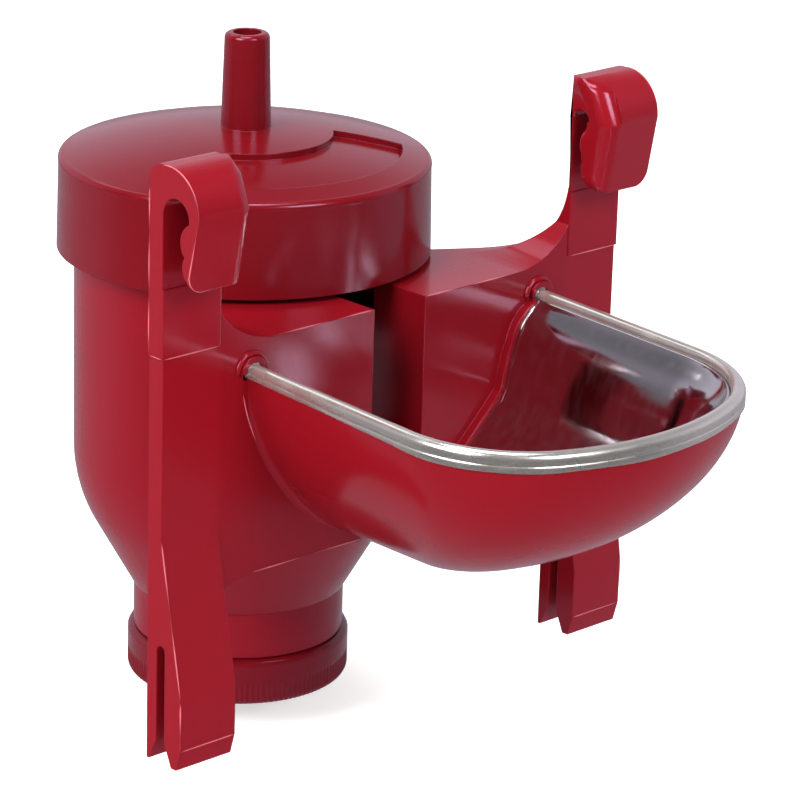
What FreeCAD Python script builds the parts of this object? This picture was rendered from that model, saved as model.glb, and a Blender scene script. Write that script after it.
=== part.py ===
# Cage drinker: a moulded tank with a float valve under its lid feeds a half-egg bowl with a steel guard.
# Two flat bars carry it: their hooks hang on one cage wire, and their forked feet straddle a lower wire.
# The origin is the middle of the hanging wire. +X runs along the wire, -Y points out over the bowl.
import FreeCAD, Part
import Sketcher
import math
import os

doc = FreeCAD.newDocument("CageDrinker")
sheet = doc.addObject("Spreadsheet::Sheet", "Sizes")
vector = FreeCAD.Vector
upright = vector(0, 0, 1)


class Size:
    # A number together with the formula that the document keeps for it
    def __init__(self, value, text):
        self.value = value
        self.text = text

    def __add__(self, other):
        other = as_size(other)
        return Size(self.value + other.value, f"({self.text} + {other.text})")

    def __sub__(self, other):
        other = as_size(other)
        return Size(self.value - other.value, f"({self.text} - {other.text})")

    def __mul__(self, other):
        other = as_size(other)
        return Size(self.value * other.value, f"({self.text} * {other.text})")

    def __truediv__(self, other):
        other = as_size(other)
        return Size(self.value / other.value, f"({self.text} / {other.text})")

    def __rsub__(self, other):
        return as_size(other) - self

    def __rtruediv__(self, other):
        return as_size(other) / self

    def __neg__(self):
        return Size(-self.value, f"(0 - {self.text})")

    __radd__ = __add__
    __rmul__ = __mul__


def as_size(number):
    return number if isinstance(number, Size) else Size(float(number), repr(float(number)))


def root(square):
    return Size(square.value ** 0.5, f"sqrt({square.text})")


def power(base, exponent):
    return Size(base.value ** exponent.value, f"({base.text} ^ {exponent.text})")


def arc_sine(ratio):
    return Size(math.degrees(math.asin(ratio.value)), f"(asin({ratio.text}) / 1 deg)")


def arc_cosine(ratio):
    return Size(math.degrees(math.acos(ratio.value)), f"(acos({ratio.text}) / 1 deg)")


def size(name, value, note):
    row = 1 + len(sheet.getUsedCells()) // 2
    sheet.set(f"A{row}", note)
    sheet.set(f"B{row}", str(value))
    sheet.setAlias(f"B{row}", name)
    return Size(float(value), f"Sizes.{name}")


zero = as_size(0)
bowl_levels = [0.0, 0.2, 0.4, 0.6, 0.77, 0.89, 0.96]

# Cage side: hooks, bars and feet
seat_radius = size("seat_radius", 1.95, "crown of the hook slot, round the hanging wire")
bar_inner = size("bar_inner", 46.95, "mid-plane to the inner edge of a bar")
bar_width = size("bar_width", 13.9, "bar along the wire")
bar_thickness = size("bar_thickness", 3.9, "bar from cage face to back")
bar_bevel = size("bar_bevel", 3.8, "width of the bevel on the upper bar's inner back edge")
bar_edge = size("bar_edge", 0.4, "upper bar's inner side in front of that bevel")
upper_proud = size("upper_proud", 0.3, "upper bar in front of and outside the lower bar")
upper_ramp = size("upper_ramp", 1.5, "lead-in from the hook's slot to the thicker upper bar")
crown_radius = size("crown_radius", 8.5, "outside of the hook's crown")
crown_offset = size("crown_offset", 0.35, "crown centre behind and above the wire")
nape_radius = size("nape_radius", 3.5, "rounding of the hook's back top edge")
lip_drop = size("lip_drop", 14.4, "wire down to the end of the hook's lip")
lip_lean = size("lip_lean", 2.55, "lip end nearer to the bar than its top")
lip_round = size("lip_round", 3.6, "rounding of the lip's inner front edge")
lip_corner = size("lip_corner", 3.2, "rounding of the lip's lower outer corner")
seat_length = size("seat_length", 6.0, "straight part of the slot from the bar's inner edge")
mouth_spread = size("mouth_spread", 3.9, "how much wider the slot is at the bar's outer edge")
bead_one = size("bead_one", 4.8, "wire down to the slot's upper retaining bead")
bead_gap = size("bead_gap", 1.5, "slot width at the upper bead")
bead_one_radius = size("bead_one_radius", 4.0, "upper bead")
bead_two_radius = size("bead_two_radius", 3.4, "lower bead")
bead_two_back = size("bead_two_back", 0.6, "lower bead behind the upper one")
notch_back = size("notch_back", 1.2, "notch between the beads behind the upper one")
lip_end_radius = size("lip_end_radius", 4.5, "round lead-in at the lip's end")
crown_sink = size("crown_sink", 0.18, "share of the widening by which the crown's centre sinks")
foot_drop = size("foot_drop", 111.25, "wire down to the end of the feet")
flare_drop = size("flare_drop", 65.5, "wire down to where the foot starts to thicken")
flare_end = size("flare_end", 96.5, "wire down to the foot's full thickness")
foot_proud = size("foot_proud", 6.1, "thickened foot in front of the cage face")
toe_height = size("toe_height", 4.3, "chamfer at the foot's front end")
toe_depth = size("toe_depth", 1.2, "chamfer at the foot's front end")
fork_gap = size("fork_gap", 2.4, "slot between the two prongs")
fork_back = size("fork_back", 2.8, "back prong")
fork_top = size("fork_top", 88.0, "wire down to the closed end of the fork")
fork_flare = size("fork_flare", 4.6, "height of the fork's entry flare")
fork_spread = size("fork_spread", 2.1, "entry flare to each side")

# Tank and neck, about their own upright axis
axis_back = size("axis_back", 46.8, "cage face to the tank's axis")
tank_radius = size("tank_radius", 34.8, "outside of the tank")
tank_wall = size("tank_wall", 2.2, "tank, neck and panel wall")
lid_drop = size("lid_drop", 9.75, "wire down to the lid's top edge")
lid_top_wall = size("lid_top_wall", 2.2, "lid top")
tank_straight = size("tank_straight", 59.4, "tank mouth down to the start of the taper")
taper_radius = size("taper_radius", 32.4, "round stretch above the cone")
taper_sine = size("taper_sine", 0.4924, "sine of the cone's angle to the axis")
lip_radius = size("lip_radius", 22.4, "lower end of the cone")
neck_radius = size("neck_radius", 22.1, "plain neck under the cone")
neck_plain = size("neck_plain", 9.8, "height of the plain neck")
spout_radius = size("spout_radius", 20.8, "neck inside the screw cap")
spout_height = size("spout_height", 6.6, "neck inside the screw cap")
bead_height = size("bead_height", 3.0, "bead round the tank's mouth")
lid_play = size("lid_play", 0.05, "lid round the mouth bead")

# Wings, panel and channel
channel_half = size("channel_half", 6.9, "half the channel between the wings")
wing_drop = size("wing_drop", 29.85, "wire down to the flat tops of the wings")
gusset_radius = size("gusset_radius", 17.0, "hollow curve from wing top to bar")
gusset_rise = size("gusset_rise", 7.6, "height of that curve")
rear_radius = size("rear_radius", 17.5, "hollow curve from wing top up the bar's back")
bar_join = size("bar_join", 29.0, "wire down to the step between the upper and the lower bar")
panel_drop = size("panel_drop", 77.35, "wire down to the panel's lower edge")
wing_root_x = size("wing_root_x", 27.0, "wing's back wall where it enters the tank")
wing_root_y = size("wing_root_y", 24.8, "cage face back to the same place")
floor_wall = size("floor_wall", 2.4, "floor of the channel")

# Bowl
bowl_half = size("bowl_half", 39.8, "half the bowl's outside width at its rim")
bowl_reach = size("bowl_reach", 72.9, "cage face to the front of the bowl")
bowl_depth = size("bowl_depth", 42.6, "rim down to the bowl's underside")
rim_drop = size("rim_drop", 35.75, "wire down to the rim at the cage face")
rim_slope = size("rim_slope", 2.0, "degrees that the rim falls towards the front")
rim_wall = size("rim_wall", 1.6, "bowl wall at the rim")
slope_rise = size("slope_rise", 0.0349, "tangent of that angle")
bowl_round = size("bowl_round", 1.7, "exponent of the bowl's cross section")
keel_round = size("keel_round", 2.1, "exponent of the bowl's long section")
rim_above = size("rim_above", 3.0, "how far the bowl's outlines start above the rim")
corner_share = size("corner_share", 0.665, "corner radius over half width")
front_share = size("front_share", 1.527, "front radius over half width")

# Inside of the bowl in levels parallel to its rim: flared lip, leaning sides, a crease and a sloping floor
room_sizes = []
for number, (depth, half, reach) in enumerate([
    (0.7, 38.2, 71.3), (2.0, 35.6, 69.7), (4.9, 33.1, 68.4), (11.2, 30.7, 66.6), (18.7, 28.9, 62.4),
    (21.4, 26.5, 60.0), (27.7, 20.3, 52.5), (34.0, 14.0, 41.0), (38.8, 9.2, 26.0),
]):
    room_sizes.append((
        size(f"room_depth_{number}", depth, f"bowl level {number} below the rim"),
        size(f"room_half_{number}", half, f"bowl level {number}, half width"),
        size(f"room_reach_{number}", reach, f"bowl level {number}, cage face to the front"),
    ))

# Steel guard
steel = size("steel", 0.7, "sheet thickness")
steel_play = size("steel_play", 0.15, "sheet to moulding")
hem_front = size("hem_front", 4.7, "height of the folded edge at the front")
hem_back = size("hem_back", 3.1, "height of the folded edge at the cage face")
hem_tail = size("hem_tail", 1.6, "folded edge inside its socket in the panel")
hem_lap = size("hem_lap", 0.6, "fold overlapping the top of the liner")
fold_step = size("fold_step", 0.3, "fold set inwards from the liner's face")
guard_back = size("guard_back", 2.0, "guard's back edge to the cage face")
socket_depth = size("socket_depth", 2.0, "socket into the panel")
socket_play = size("socket_play", 0.15, "folded edge to its socket")
rib_width = size("rib_width", 1.0, "rib round the liner's back edge, inside the liner")
rib_gap = size("rib_gap", 0.15, "liner's back edge to the rib")
collar_radius = size("collar_radius", 3.1, "raised arc over the socket")
collar_proud = size("collar_proud", 1.2, "raised arc in front of the panel")

# Lid
dome_rise = size("dome_rise", 6.2, "lid centre above its edge")
lid_radius = size("lid_radius", 38.0, "lid at its top edge")
lid_foot = size("lid_foot", 38.35, "lid at the skirt's end")
lid_edge = size("lid_edge", 1.2, "rounding of the top edge")
skirt_height = size("skirt_height", 19.1, "lid edge down to the skirt's end")
skirt_wall = size("skirt_wall", 2.0, "skirt")
spigot_height = size("spigot_height", 19.3, "hose spigot above the dome")
spigot_tip = size("spigot_tip", 4.6, "spigot radius at its end")
spigot_root = size("spigot_root", 5.15, "spigot radius at the dome")
spigot_bore = size("spigot_bore", 2.9, "bore for the water")
spigot_bevel = size("spigot_bevel", 1.0, "rounding of the spigot's end")
recess_inner = size("recess_inner", 17.8, "inside of the sunk sector")
recess_outer = size("recess_outer", 32.0, "outside of the sunk sector")
recess_angle = size("recess_angle", 109.0, "sweep of the sunk sector in degrees")
recess_depth = size("recess_depth", 1.3, "depth of the sunk sector")

# Float valve
jet_boss = size("jet_boss", 8.0, "boss under the lid")
jet_boss_drop = size("jet_boss_drop", 17.5, "wire down to the end of that boss")
jet_radius = size("jet_radius", 4.0, "jet in its boss")
jet_play = size("jet_play", 0.02, "fits of the valve's pressed pieces")
jet_length = size("jet_length", 9.0, "jet inside the boss")
jet_flange = size("jet_flange", 5.6, "flange of the jet")
jet_flange_height = size("jet_flange_height", 1.0, "flange of the jet")
jet_nose = size("jet_nose", 2.0, "radius of the jet's nose")
jet_nose_height = size("jet_nose_height", 1.6, "nose below the flange")
jet_bore = size("jet_bore", 1.0, "orifice")
guide_wall = size("guide_wall", 1.5, "guide tube")
guide_grip = size("guide_grip", 4.0, "guide round the boss")
guide_drop = size("guide_drop", 36.5, "wire down to the guide's end")
guide_floor = size("guide_floor", 2.0, "guide's bottom plate")
window_base = size("window_base", 3.0, "window above the guide's plate")
window_width = size("window_width", 7.0, "window in the guide")
window_height = size("window_height", 9.0, "window in the guide")
stem_radius = size("stem_radius", 3.0, "float stem")
stem_play = size("stem_play", 0.08, "stem in the guide")
stem_top = size("stem_top", 3.0, "stem inside the pad holder")
stop_play = size("stop_play", 0.2, "pad holder above the guide's plate with the float down")
holder_radius = size("holder_radius", 6.6, "pad holder")
holder_height = size("holder_height", 6.6, "pad holder")
pad_radius = size("pad_radius", 4.6, "valve pad")
pad_height = size("pad_height", 2.4, "valve pad")
pad_proud = size("pad_proud", 0.6, "pad above its holder")
float_radius = size("float_radius", 24.0, "float")
float_wall = size("float_wall", 1.3, "float")
float_drop = size("float_drop", 45.5, "wire down to the top of the float")
float_height = size("float_height", 21.0, "float")
float_edge = size("float_edge", 3.0, "rounding of the float's lower edge")
cover_step = size("cover_step", 2.0, "depth of the cover's locating ring")
stem_foot = size("stem_foot", 4.0, "stem inside the cover's boss")
stem_boss = size("stem_boss", 5.4, "boss of the float cover")

# Bottom cap and gasket
cap_radius = size("cap_radius", 23.3, "screw cap")
cap_wall = size("cap_wall", 2.0, "floor of the cap")
cap_shoulder = size("cap_shoulder", 1.0, "sloping shoulder of the cap")
cap_edge = size("cap_edge", 1.6, "rounding of the cap's lower edge")
cap_play = size("cap_play", 0.3, "cap round the neck")
cap_gap = size("cap_gap", 0.3, "cap below the plain neck")
grip_count = size("grip_count", 60, "grooves round the cap")
grip_depth = size("grip_depth", 0.35, "depth of a groove")
grip_width = size("grip_width", 1.2, "width of a groove at the rim")
gasket_height = size("gasket_height", 1.6, "gasket")
gasket_hole = size("gasket_hole", 14.0, "hole in the gasket")
face_play = size("face_play", 0.05, "between flat faces that meet")
past = size("past", 1.0, "how far a cut runs past what it cuts")

doc.recompute()

face_y = seat_radius
bar_outer = bar_inner + bar_width
bar_back = face_y + bar_thickness
axis_y = face_y + axis_back
lid_top_z = -lid_drop
mouth_z = lid_top_z - lid_top_wall
taper_z = mouth_z - tank_straight
wing_z = -wing_drop
panel_z = -panel_drop

planes = {
    "front": FreeCAD.Rotation(vector(1, 0, 0), 90),
    "side": FreeCAD.Rotation(vector(1, 1, 1), 120),
    "top": FreeCAD.Rotation(),
}
roles = {"front": "XZ_Plane", "side": "YZ_Plane", "top": "XY_Plane"}
along = {"front": "y", "side": "x", "top": "z"}


def bind(item, key, value):
    value = as_size(value)
    item.setExpression(key, value.text)


def pin(sketch, edge, point, corner):
    for kind, number in (("DistanceX", as_size(corner[0])), ("DistanceY", as_size(corner[1]))):
        at = sketch.addConstraint(Sketcher.Constraint(kind, -1, 1, edge, point, number.value))
        bind(sketch, f"Constraints[{at}]", number)


# An outline is a list of corners. A corner (u, v) ends a straight edge, and (u, v, radius, turn) an arc:
# turn is 1 for an arc that bends to the left along the outline and -1 for one that bends to the right.
def draw(sketch, corners):
    flat = [vector(as_size(c[0]).value, as_size(c[1]).value, 0) for c in corners]
    ends = []
    for i in range(len(corners)):
        start = flat[i - 1]
        stop = flat[i]
        if len(corners[i]) == 2:
            sketch.addGeometry(Part.LineSegment(start, stop), False)
        else:
            radius = as_size(corners[i][2])
            turn = corners[i][3]
            chord = stop - start
            left = vector(-chord.y, chord.x, 0).normalize()
            lift = max(radius.value ** 2 - (chord.Length / 2) ** 2, 0) ** 0.5
            middle = (start + stop) * 0.5 - left * turn * (radius.value - lift)
            sketch.addGeometry(Part.Arc(start, middle, stop), False)
        edge = len(sketch.Geometry) - 1
        first = 1 if sketch.getPoint(edge, 1).distanceToPoint(start) < 1e-6 else 2
        ends.append((edge, first, 3 - first))
        if len(corners[i]) == 4:
            at = sketch.addConstraint(Sketcher.Constraint("Radius", edge, radius.value))
            bind(sketch, f"Constraints[{at}]", radius)
    for (edge, first, last), following, corner in zip(ends, ends[1:] + ends[:1], corners):
        sketch.addConstraint(Sketcher.Constraint("Coincident", edge, last, following[0], following[1]))
        pin(sketch, edge, last, corner)


def outline(name, plane, place, corners):
    sketch = doc.addObject("Sketcher::SketchObject", name)
    sketch.Placement = FreeCAD.Placement(vector(0, 0, 0), planes[plane])
    bind(sketch, f"Placement.Base.{along[plane]}", place)
    draw(sketch, corners)
    return sketch


def prism(name, sketch, forward, backward=zero):
    solid = doc.addObject("Part::Extrusion", name)
    solid.Base = sketch
    solid.DirMode = "Normal"
    solid.Solid = True
    bind(solid, "LengthFwd", forward)
    bind(solid, "LengthRev", backward)
    return solid


def turned(name, corners):
    sketch = outline(name + "Profile", "front", zero, corners)
    bind(sketch, "Placement.Base.y", axis_y)
    solid = doc.addObject("Part::Revolution", name)
    solid.Source = sketch
    solid.Axis = upright
    solid.Angle = 360
    solid.Solid = True
    bind(solid, "Base.y", axis_y)
    return solid


def joined(name, pieces):
    solid = doc.addObject("Part::MultiFuse", name)
    solid.Shapes = pieces
    solid.Refine = True
    return solid


def common(name, pieces):
    solid = doc.addObject("Part::MultiCommon", name)
    solid.Shapes = pieces
    return solid


def cut(name, base, tool):
    solid = doc.addObject("Part::Cut", name)
    solid.Base = base
    solid.Tool = tool
    solid.Refine = True
    return solid


def mirrored(name, source):
    solid = doc.addObject("Part::Mirroring", name)
    solid.Source = source
    solid.Normal = vector(1, 0, 0)
    return solid


def lofted(name, sections):
    solid = doc.addObject("Part::Loft", name)
    solid.Sections = sections
    solid.Solid = True
    return solid


def body_sketch(body, plane, name, corners):
    sketch = body.newObject("Sketcher::SketchObject", name)
    for feature in body.Origin.OriginFeatures:
        if feature.Role == roles[plane]:
            sketch.AttachmentSupport = [(feature, "")]
    sketch.MapMode = "FlatFace"
    draw(sketch, corners)
    return sketch


def axis_of(body):
    for feature in body.Origin.OriginFeatures:
        if feature.Role == "Z_Axis":
            return feature


def turned_body(node, corners):
    body = doc.addObject("PartDesign::Body", node)
    body.Label = node
    bind(body, "Placement.Base.y", axis_y)
    sketch = body_sketch(body, "front", node + "Profile", corners)
    turn = body.newObject("PartDesign::Revolution", node + "Turn")
    turn.Profile = sketch
    turn.ReferenceAxis = (axis_of(body), [""])
    turn.Angle = 360
    sketch.Visibility = False
    return body


# The tank: mouth bead, straight wall, rounded taper, cone, plain neck and the neck inside the cap
taper_cosine = root(1 - taper_sine * taper_sine)
taper_centre = tank_radius - taper_radius
cone_r = taper_centre + taper_radius * taper_cosine
cone_z = taper_z - taper_radius * taper_sine
cone_slope = taper_cosine / taper_sine
lip_z = cone_z - (cone_r - lip_radius) * cone_slope
spout_z = lip_z - neck_plain
spout_end = spout_z - spout_height
inner_arc = taper_radius - tank_wall
inner_r = taper_centre + inner_arc * taper_cosine
inner_z = taper_z - inner_arc * taper_sine
spout_inner = spout_radius - tank_wall
inner_end = inner_z - (inner_r - spout_inner) * cone_slope
bead_radius = lid_radius - skirt_wall - lid_play

tank = turned("Tank", [
    (zero, mouth_z),
    (bead_radius, mouth_z),
    (bead_radius, mouth_z - bead_height),
    (tank_radius, mouth_z - bead_height - tank_wall / 2),
    (tank_radius, taper_z),
    (cone_r, cone_z, taper_radius, -1),
    (lip_radius, lip_z),
    (neck_radius, lip_z),
    (neck_radius, spout_z),
    (spout_radius, spout_z),
    (spout_radius, spout_end),
    (zero, spout_end),
])
tank_room = turned("TankRoom", [
    (zero, mouth_z + past),
    (tank_radius - tank_wall, mouth_z + past),
    (tank_radius - tank_wall, taper_z),
    (inner_r, inner_z, inner_arc, -1),
    (spout_inner, inner_end),
    (spout_inner, spout_end - past),
    (zero, spout_end - past),
])

# The two wings are one block behind the cage face, with the channel cut through its middle.
# Each wing top curves up to its bar's side and back.
# The wing's back wall runs straight from the tank to the bar's outer edge.
gusset_run = root(2 * gusset_radius * gusset_rise - gusset_rise * gusset_rise)
gusset_x = bar_inner - gusset_run
gusset_top = wing_z + gusset_rise
rear_top = wing_z + rear_radius
rear_y = face_y + bar_edge
hook_outer = bar_outer + upper_proud
hook_front = face_y - upper_proud
join_z = -bar_join
wing_front = outline("WingFront", "front", face_y, [
    (bar_outer, panel_z),
    (bar_outer, rear_top),
    (bar_inner, rear_top),
    (bar_inner, gusset_top),
    (gusset_x, wing_z, gusset_radius, -1),
    (-gusset_x, wing_z),
    (-bar_inner, gusset_top, gusset_radius, -1),
    (-bar_inner, rear_top),
    (-bar_outer, rear_top),
    (-bar_outer, panel_z),
])
wing_side = outline("WingSide", "side", -bar_outer - past, [
    (face_y, panel_z),
    (axis_y, panel_z),
    (axis_y, wing_z),
    (rear_y + rear_radius, wing_z),
    (rear_y, rear_top, rear_radius, -1),
    (face_y, rear_top),
])
wing_plan = outline("WingPlan", "top", panel_z - past, [
    (bar_outer, face_y),
    (bar_outer, bar_back),
    (wing_root_x, face_y + wing_root_y),
    (wing_root_x, axis_y),
    (-wing_root_x, axis_y),
    (-wing_root_x, face_y + wing_root_y),
    (-bar_outer, bar_back),
    (-bar_outer, face_y),
])
wings = common("Wings", [
    prism("WingBlock", wing_front, zero, axis_back),
    prism("WingColumn", wing_plan, rear_top - panel_z + 2 * past),
    prism("WingSlab", wing_side, 2 * (bar_outer + past)),
])

# Each wing is a box open below: its room keeps one wall to the panel, the channel, the back and the tank
back_run = bar_outer - wing_root_x
back_rise = wing_root_y - bar_thickness
back_length = root(back_run * back_run + back_rise * back_rise)
room_inner = channel_half + tank_wall
room_outer = bar_inner - tank_wall
room_y = face_y + tank_wall


def back_wall_y(x):
    return bar_back + (bar_outer - x) * back_rise / back_run - tank_wall * back_length / back_run


wing_room_plan = outline("WingRoomPlan", "top", panel_z - past, [
    (room_outer, room_y),
    (room_outer, back_wall_y(room_outer)),
    (wing_root_x, back_wall_y(wing_root_x)),
    (room_inner, back_wall_y(wing_root_x)),
    (room_inner, room_y),
])
wing_room_block = prism("WingRoomBlock", wing_room_plan, panel_drop + past - wing_drop - tank_wall)
tank_column = turned("TankColumn", [
    (zero, wing_z),
    (tank_radius, wing_z),
    (tank_radius, taper_z),
    (cone_r, cone_z, taper_radius, -1),
    (lip_radius, lip_z),
    (zero, lip_z),
])
wing_room = cut("WingRoom", wing_room_block, tank_column)

# Channel from the tank's inside to the bowl, open above between the wings
channel_plan = outline("ChannelPlan", "top", panel_z + floor_wall, [
    (channel_half, face_y - guard_back),
    (channel_half, axis_y),
    (-channel_half, axis_y),
    (-channel_half, face_y - guard_back),
])
channel = prism("Channel", channel_plan, panel_drop - floor_wall - wing_drop + past)

# Bar and foot in one side outline; the fork opens downwards
foot_front = face_y - foot_proud
foot_z = -foot_drop
fork_y = bar_back - fork_back
bar_profile = outline("BarProfile", "side", bar_inner, [
    (bar_back, foot_z),
    (bar_back, join_z),
    (face_y, join_z),
    (face_y, -flare_drop),
    (foot_front, -flare_end),
    (foot_front, foot_z + toe_height),
    (foot_front + toe_depth, foot_z),
])
fork_profile = outline("ForkProfile", "side", bar_inner - past, [
    (fork_y + fork_spread, foot_z - past),
    (fork_y + fork_spread, foot_z),
    (fork_y, foot_z + fork_flare),
    (fork_y, -fork_top),
    (fork_y - fork_gap / 2, fork_gap / 2 - fork_top, fork_gap / 2, 1),
    (fork_y - fork_gap, -fork_top, fork_gap / 2, 1),
    (fork_y - fork_gap, foot_z + fork_flare),
    (fork_y - fork_gap - fork_spread, foot_z),
    (fork_y - fork_gap - fork_spread, foot_z - past),
])
fork = prism("Fork", fork_profile, bar_width + 2 * past)
bar = cut("Bar", prism("BarBlock", bar_profile, bar_width), fork)

# Hook: bar top, crown and lip, with the lip leaning in towards the bar
crown_y = crown_offset
crown_front = crown_y - crown_radius
lip_end_y = crown_front + lip_lean
hook_profile = outline("HookProfile", "side", bar_inner, [
    (bar_back, join_z),
    (bar_back, crown_offset + crown_radius - nape_radius),
    (bar_back - nape_radius, crown_offset + crown_radius, nape_radius, 1),
    (crown_y, crown_offset + crown_radius),
    (crown_front, crown_offset, crown_radius, 1),
    (lip_end_y, -lip_drop),
    (face_y, -lip_drop),
    (hook_front, -lip_drop - upper_ramp),
    (hook_front, join_z),
])


# The hook seen from above. The rounding of its inner front edge leans with the lip and follows the crown.
def hook_plan(name, place, front):
    return outline(name, "top", place, [
        (hook_outer, front - past),
        (hook_outer, bar_back),
        (bar_inner + bar_bevel, bar_back),
        (bar_inner, rear_y),
        (bar_inner, front + lip_round),
        (bar_inner + lip_round, front, lip_round, 1),
        (bar_inner + lip_round, front - past),
    ])


lean_rise = lip_lean / (crown_offset + lip_drop)
crown_bend = crown_radius * root(as_size(0.5))
hook_column = lofted("HookColumn", [
    hook_plan("HookPlanLow", join_z, crown_front + lean_rise * (crown_offset - join_z)),
    hook_plan("HookPlanCrown", crown_offset, crown_front),
    hook_plan("HookPlanBend", crown_offset + crown_bend, crown_y - crown_bend),
    hook_plan("HookPlanTop", crown_offset + crown_radius + past, crown_y - crown_bend / 4),
])
hook_column.Ruled = True
corner_cuts = []
for name, edge, inward in (("Outer", hook_outer, -1), ("Inner", bar_inner, 1)):
    corner = outline(name + "LipCorner", "front", face_y, [
        (edge - past * inward, -lip_drop - past),
        (edge - past * inward, -lip_drop + lip_corner),
        (edge, -lip_drop + lip_corner),
        (edge + lip_corner * inward, -lip_drop, lip_corner, inward),
        (edge + lip_corner * inward, -lip_drop - past),
    ])
    corner_cuts.append(prism(name + "LipCut", corner, face_y - crown_front + past))


# The slot is a straight snap seat at its inner end and widens to the bar's outer edge.
# Two beads on the lip hold the wire in the crown.
def slot_outline(name, x, spread):
    lip_y = -seat_radius - spread
    bead_y = face_y - bead_gap - spread
    one_y = bead_y - bead_one_radius
    one_top = -bead_one + root(bead_one_radius * bead_one_radius - (lip_y - one_y) * (lip_y - one_y))
    notch_y = bead_y - notch_back
    notch_reach = bead_one_radius - notch_back
    notch_z = -bead_one - root(bead_one_radius * bead_one_radius - notch_reach * notch_reach)
    two_reach = bead_two_radius - notch_back + bead_two_back
    two_z = notch_z - root(bead_two_radius * bead_two_radius - two_reach * two_reach)
    end_reach = bead_two_radius - notch_back
    end_z = two_z - root(bead_two_radius * bead_two_radius - end_reach * end_reach)
    end_y = bead_y - bead_two_back - notch_back
    radius = seat_radius + spread / 2
    return outline(name, "side", x, [
        (face_y, -lip_drop - past),
        (face_y, -spread * crown_sink),
        (face_y - radius, radius - spread * crown_sink, radius, 1),
        (lip_y, -spread * crown_sink, radius, 1),
        (lip_y, one_top),
        (notch_y, notch_z, bead_one_radius, -1),
        (end_y, end_z, bead_two_radius, -1),
        (lip_end_y, -lip_drop - past, lip_end_radius, -1),
    ])


seat_end = bar_inner + seat_length
slot_narrow = slot_outline("SlotNarrow", bar_inner - past, zero)
slot_seat = slot_outline("SlotSeat", seat_end, zero)
slot_wide = slot_outline("SlotWide", hook_outer + past, mouth_spread)
hook = common("HookSolid", [prism("HookBlock", hook_profile, bar_width + upper_proud), hook_column])
slot_cuts = [
    prism("SlotStraight", slot_narrow, seat_length + past),
    lofted("SlotFlare", [slot_seat, slot_wide]),
]
for number, tool in enumerate(slot_cuts + corner_cuts):
    hook = cut(f"HookCut{number}", hook, tool)
carrier = joined("Carrier", [bar, hook])


# The bowl: level outlines with straight sides, rounded corners and a flatter round front.
# Its half width and reach shrink with depth as two superellipses. The rim falls a little to the front.
def bowl_corners(half, reach, back_y):
    corner = corner_share * half
    front = front_share * half
    tip = face_y - reach
    along_x = half - corner
    between = front - corner
    along_y = root(between * between - along_x * along_x)
    turn_y = tip + front - along_y
    meet_x = front * along_x / between
    meet_y = tip + front - front * along_y / between
    return [
        (half, back_y),
        (half, turn_y),
        (meet_x, meet_y, corner, -1),
        (-meet_x, meet_y, front, -1),
        (-half, turn_y, corner, -1),
        (-half, back_y),
    ]


def bowl_solid(name, half, reach, depth, back_y):
    sections = [outline(name + "Rim", "top", rim_above - rim_drop, bowl_corners(half, reach, back_y))]
    for number, share in enumerate(bowl_levels):
        across = power(1 - power(as_size(share), bowl_round), 1 / bowl_round)
        ahead = power(1 - power(as_size(share), keel_round), 1 / keel_round)
        place = -rim_drop - depth * share
        corners = bowl_corners(half * across, reach * ahead, back_y)
        sections.append(outline(f"{name}Level{number}", "top", place, corners))
    return lofted(name, sections)


slope_fall = (bowl_reach + 4 * past) * slope_rise
slope_ahead = face_y - bowl_reach - 4 * past


def above_plane(name, lift, extra_fall):
    profile = outline(name + "Profile", "side", -bowl_half - 4 * past, [
        (bar_back, lift - rim_drop),
        (bar_back, zero),
        (slope_ahead, zero),
        (slope_ahead, lift - rim_drop - slope_fall - extra_fall),
    ])
    return prism(name, profile, 2 * bowl_half + 8 * past)


rim_trim = above_plane("RimTrim", zero, zero)
bowl_outer = bowl_solid("BowlOuter", bowl_half, bowl_reach, bowl_depth, face_y + tank_wall / 2)
bowl = cut("Bowl", bowl_outer, rim_trim)


# The inside is drawn level and then tilts with the rim. inset moves every wall inwards.
def tilt(item):
    item.Placement = FreeCAD.Placement(vector(0, 0, 0), FreeCAD.Rotation(vector(1, 0, 0), rim_slope.value))
    bind(item, "Placement.Rotation.Angle", rim_slope)
    bind(item, "Placement.Base.z", -rim_drop)
    return item


def room_solid(name, inset, back_y, top):
    deepest = room_sizes[-1][0]
    first_half = room_sizes[0][1] - inset
    first_reach = room_sizes[0][2] - inset
    sections = [outline(name + "Top", "top", top, bowl_corners(first_half, first_reach, back_y))]
    for number, (depth, half, reach) in enumerate(room_sizes):
        place = depth * (inset / deepest - 1)
        corners = bowl_corners(half - inset, reach - inset, back_y)
        sections.append(outline(f"{name}Level{number}", "top", place, corners))
    solid = lofted(name, sections)
    solid.Ruled = True
    return tilt(solid)


def rear_slab(name, front):
    plan = outline(name + "Plan", "top", -rim_drop - bowl_depth, [
        (bowl_half, front),
        (bowl_half, axis_y),
        (-bowl_half, axis_y),
        (-bowl_half, front),
    ])
    return prism(name, plan, bowl_depth + 2 * rim_above)


rib_slab = rear_slab("RibSlab", face_y - guard_back + rib_gap)
wall_slab = rear_slab("WallSlab", face_y)
guard_slab = rear_slab("GuardSlab", face_y - guard_back)
rib_inset = steel_play + steel + rib_width
bowl_room = cut("BowlRoomFront", room_solid("BowlRoom", zero, bar_back, rim_above), rib_slab)
rib_room = cut("RibRoomFront", room_solid("RibRoom", rib_inset, bar_back, rim_above), wall_slab)

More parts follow.
